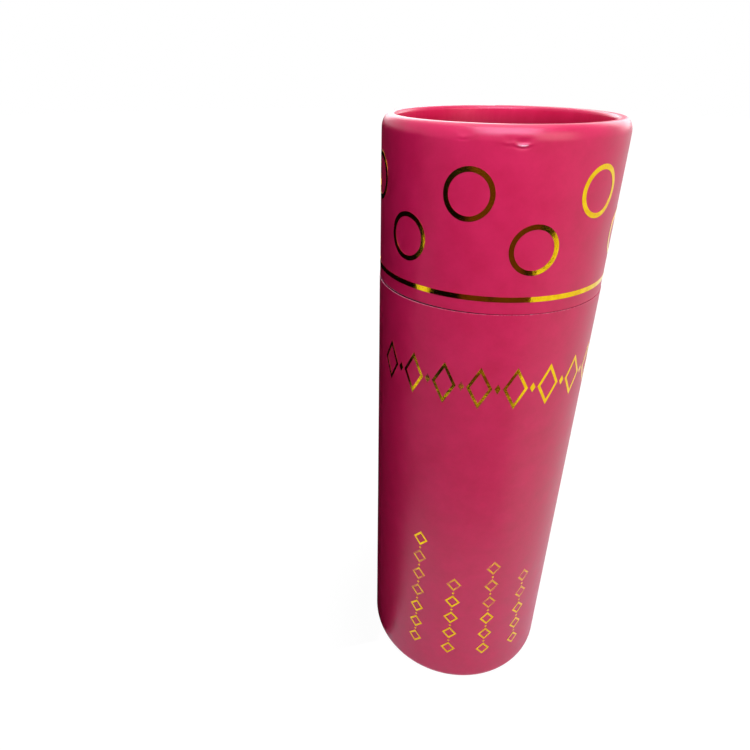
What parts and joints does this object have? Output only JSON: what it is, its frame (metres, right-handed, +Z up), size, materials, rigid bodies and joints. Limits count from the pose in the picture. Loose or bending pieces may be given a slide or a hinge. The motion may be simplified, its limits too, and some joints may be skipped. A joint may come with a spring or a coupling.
{
  "type": "cylindrical gift tube box",
  "caption": "Tall round gift tube of wound board with rolled rim and foot, a lid that lifts off an inner neck, and gold foil rings, band and lozenges on printed paper.",
  "frame": {"origin": "on the tube's axis, in the plane that it stands on", "axes": "+Z up along the tube's axis; the foil ornament's middle faces -Y, the front"},
  "size_m": [0.07, 0.0701, 0.2089],
  "materials": {
    "wound_board": "grey wound board",
    "printed_paper": "pink printed paper with a soft-touch matt film",
    "plain_paper": "white uncoated paper",
    "gold_foil": "bright gold hot-stamping foil"
  },
  "bodies": {
    "body": {"base_disc": "wound_board", "base_liner": "plain_paper", "base_paper": "printed_paper", "body_tube": "wound_board", "body_wrap": "printed_paper", "foil_chain_1": "gold_foil", "foil_chain_2": "gold_foil", "foil_chain_3": "gold_foil", "foil_chain_4": "gold_foil", "foil_lozenge_1": "gold_foil", "foil_lozenge_2": "gold_foil", "foil_lozenge_3": "gold_foil", "foil_lozenge_4": "gold_foil", "foil_lozenge_5": "gold_foil", "foil_lozenge_6": "gold_foil", "foil_lozenge_7": "gold_foil", "foil_lozenge_8": "gold_foil", "foil_small_lozenges": "gold_foil", "inner_tube": "wound_board", "neck_paper": "plain_paper", "tube_lining": "plain_paper"},
    "lid": {"foil_band": "gold_foil", "foil_ring_lower_1": "gold_foil", "foil_ring_lower_2": "gold_foil", "foil_ring_lower_3": "gold_foil", "foil_ring_lower_4": "gold_foil", "foil_ring_lower_5": "gold_foil", "foil_ring_lower_6": "gold_foil", "foil_ring_upper_1": "gold_foil", "foil_ring_upper_2": "gold_foil", "foil_ring_upper_3": "gold_foil", "foil_ring_upper_4": "gold_foil", "foil_ring_upper_5": "gold_foil", "foil_ring_upper_6": "gold_foil", "lid_disc": "wound_board", "lid_disc_liner": "plain_paper", "lid_disc_paper": "printed_paper", "lid_lining": "plain_paper", "lid_tube": "wound_board", "lid_wrap": "printed_paper"}
  },
  "joints": [
    {"name": "lid_lift", "type": "slide", "parent": "body", "child": "lid", "axis": [0, 0, 1], "range_m": [0, 0.045]}
  ]
}
